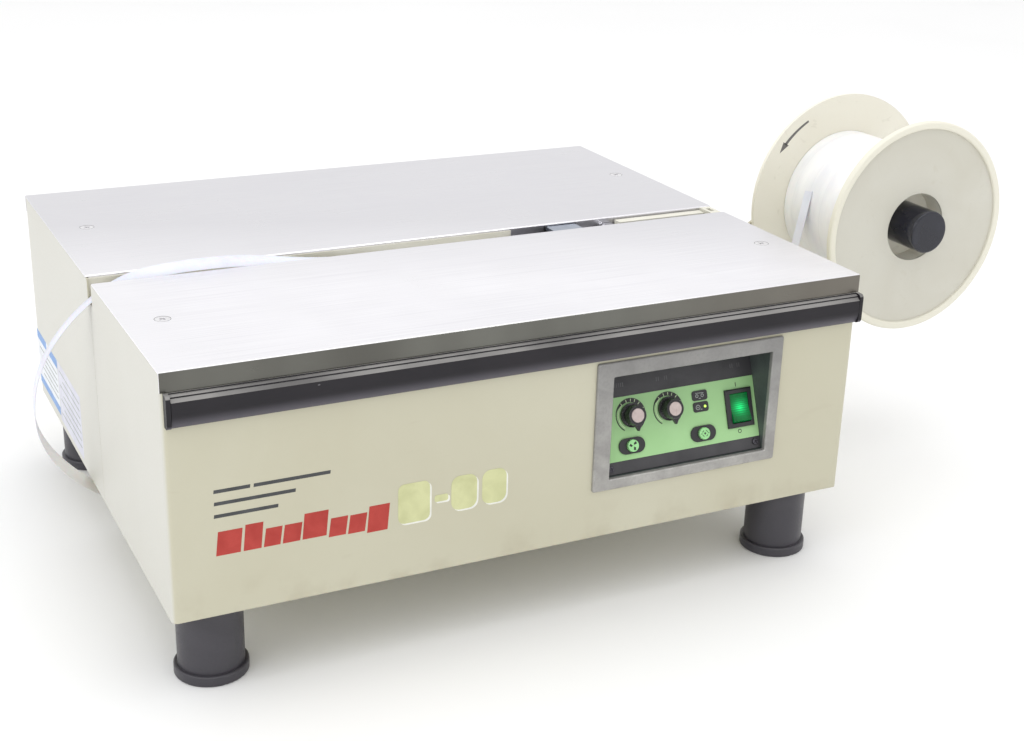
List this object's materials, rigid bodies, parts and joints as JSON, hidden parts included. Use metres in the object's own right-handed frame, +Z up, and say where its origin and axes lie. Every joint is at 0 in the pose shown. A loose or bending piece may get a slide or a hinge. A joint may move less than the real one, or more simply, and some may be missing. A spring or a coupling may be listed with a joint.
{
  "type": "semi automatic strapping machine",
  "caption": "Bench-top semi automatic strapping machine: low cream cabinet on short legs, steel table split by a strap slot, tilted control panel, and a strap reel held beside it on an arm.",
  "frame": {"origin": "middle of the footprint of the machine and its reel, on the floor under the feet", "axes": "+X along the front towards the reel, +Y from the operator side to the rear, +Z up"},
  "size_m": [1.0817, 0.576, 0.399],
  "materials": {
    "cream_paint": "semi-gloss baked enamel",
    "steel_plate": "fine brushed stainless sheet",
    "screw_steel": "bright zinc",
    "black_vinyl": "satin vinyl edging",
    "leg_black": "satin",
    "frame_zinc": "galvanised sheet",
    "machine_steel": "ground and plated",
    "black_oxide": "blackened",
    "roller_rubber": "matte",
    "motor_paint": "hammer paint",
    "core_iron": "varnished",
    "board_green": "solder mask",
    "black_plastic": "satin moulded",
    "box_grey": "flat grey paint",
    "cast_grey": "cast, worn",
    "panel_black": "satin",
    "overlay_green": "printed film",
    "knob_black": "satin",
    "knob_cap": "satin",
    "rocker_green": "lit, translucent",
    "button_green": "satin",
    "bracket_paint": "semi-gloss enamel",
    "reel_ivory": "moulded, slightly aged",
    "strap_white": "embossed polypropylene band"
  },
  "bodies": {
    "cabinet": {"base_pan": "cream_paint", "front_cover": "cream_paint", "rear_cover": "cream_paint", "strap_trough": "cream_paint", "slot_covers": "cream_paint", "front_top_plate": "steel_plate", "rear_top_plate": "steel_plate", "top_screws": "screw_steel", "base_fasteners": "screw_steel", "bracket_fasteners": "screw_steel", "bumper_rail": "black_vinyl", "leg_front_left": "leg_black", "leg_front_right": "leg_black", "leg_rear_left": "leg_black", "leg_rear_right": "leg_black", "foot_caps": "leg_black", "left_frame": "frame_zinc", "right_frame": "frame_zinc", "head_frame": "machine_steel", "slide_guide": "machine_steel", "guide_channel": "black_oxide", "panel_screws": "black_oxide", "drive_belt": "roller_rubber", "motor": "motor_paint", "transformer": "core_iron", "control_electronics": "board_green", "mains_inlet": "black_plastic", "strap_entry_guide": "black_plastic", "spindle": "black_plastic", "switch_housing": "black_plastic", "panel_mouldings": "black_plastic", "control_box": "box_grey", "control_bezel": "cast_grey", "control_panel": "panel_black", "panel_overlay": "overlay_green", "reel_bracket": "bracket_paint", "strap_lead": "strap_white", "strap_tail": "strap_white"},
    "reel": {"reel_front_flange": "reel_ivory", "reel_back_flange": "reel_ivory", "reel_core": "reel_ivory", "strap_coil": "strap_white"},
    "guide_roller": {"guide_roller": "machine_steel"},
    "tension_dial": {"tension_knob": "knob_black", "tension_knob_cap": "knob_cap"},
    "timer_dial": {"timer_knob": "knob_black", "timer_knob_cap": "knob_cap"},
    "power_rocker": {"power_rocker": "rocker_green"},
    "feed_button": {"feed_button": "button_green"},
    "reset_button": {"reset_button": "button_green"},
    "left_gripper": {"left_gripper": "black_oxide"},
    "centre_press": {"centre_press": "machine_steel"},
    "right_gripper": {"right_gripper": "machine_steel"},
    "slide_plate": {"slide_plate": "steel_plate"},
    "heater_arm": {"heater_arm": "machine_steel"},
    "cam_shaft": {"cam_shaft": "machine_steel"},
    "motor_shaft": {"motor_shaft": "machine_steel"},
    "feed_roller": {"feed_roller": "roller_rubber"},
    "pressure_roller": {"pressure_roller": "roller_rubber"}
  },
  "joints": [
    {"name": "reel_spin", "type": "hinge", "parent": "cabinet", "child": "reel", "pos_m": [0.389, -0.029, 0.276], "axis": [0, -1, 0], "continuous": true},
    {"name": "guide_roller_spin", "type": "hinge", "parent": "cabinet", "child": "guide_roller", "pos_m": [0.24302, -0.0265, 0.12865], "axis": [0, -1, 0], "continuous": true},
    {"name": "tension_turn", "type": "hinge", "parent": "cabinet", "child": "tension_dial", "pos_m": [-0.0672, -0.25767, 0.18437], "axis": [0, -0.9397, 0.342], "range_deg": [-270, 0]},
    {"name": "timer_turn", "type": "hinge", "parent": "cabinet", "child": "timer_dial", "pos_m": [-0.0264, -0.2576, 0.18455], "axis": [0, -0.9397, 0.342], "range_deg": [-270, 0]},
    {"name": "power_tilt", "type": "hinge", "parent": "cabinet", "child": "power_rocker", "pos_m": [0.052, -0.26046, 0.17378], "axis": [1, 0, 0], "range_deg": [0, 16]},
    {"name": "feed_press", "type": "slide", "parent": "cabinet", "child": "feed_button", "axis": [0, 0.9397, -0.342], "range_m": [0, 0.0015], "stiffness_N_per_m": 400},
    {"name": "reset_press", "type": "slide", "parent": "cabinet", "child": "reset_button", "axis": [0, 0.9397, -0.342], "range_m": [0, 0.0015], "stiffness_N_per_m": 400},
    {"name": "left_grip_lift", "type": "slide", "parent": "cabinet", "child": "left_gripper", "axis": [0, 0, 1], "range_m": [0, 0.005]},
    {"name": "press_lift", "type": "slide", "parent": "cabinet", "child": "centre_press", "axis": [0, 0, 1], "range_m": [0, 0.005]},
    {"name": "right_grip_lift", "type": "slide", "parent": "cabinet", "child": "right_gripper", "axis": [0, 0, 1], "range_m": [0, 0.005]},
    {"name": "slide_plate_draw", "type": "slide", "parent": "cabinet", "child": "slide_plate", "axis": [0, 1, 0], "range_m": [0, 0.02]},
    {"name": "heater_swing", "type": "hinge", "parent": "cabinet", "child": "heater_arm", "pos_m": [-0.013, 0.01, 0.111], "axis": [1, 0, 0], "range_deg": [0, 8.8]},
    {"name": "cam_spin", "type": "hinge", "parent": "cabinet", "child": "cam_shaft", "pos_m": [-0.012, -0.0275, 0.176], "axis": [1, 0, 0], "continuous": true},
    {"name": "motor_spin", "type": "hinge", "parent": "cabinet", "child": "motor_shaft", "pos_m": [0.048, 0.153, 0.151], "axis": [1, 0, 0], "continuous": true},
    {"name": "feed_spin", "type": "hinge", "parent": "cabinet", "child": "feed_roller", "pos_m": [0.1215, -0.0275, 0.161], "axis": [0, 1, 0], "continuous": true},
    {"name": "pressure_spin", "type": "hinge", "parent": "cabinet", "child": "pressure_roller", "pos_m": [0.1475, -0.0275, 0.161], "axis": [0, 1, 0], "continuous": true}
  ],
  "couplings": [
    {"joint": "motor_spin", "follows": "cam_spin", "ratio": 2.3615},
    {"joint": "pressure_spin", "follows": "feed_spin", "ratio": -1.2727}
  ]
}
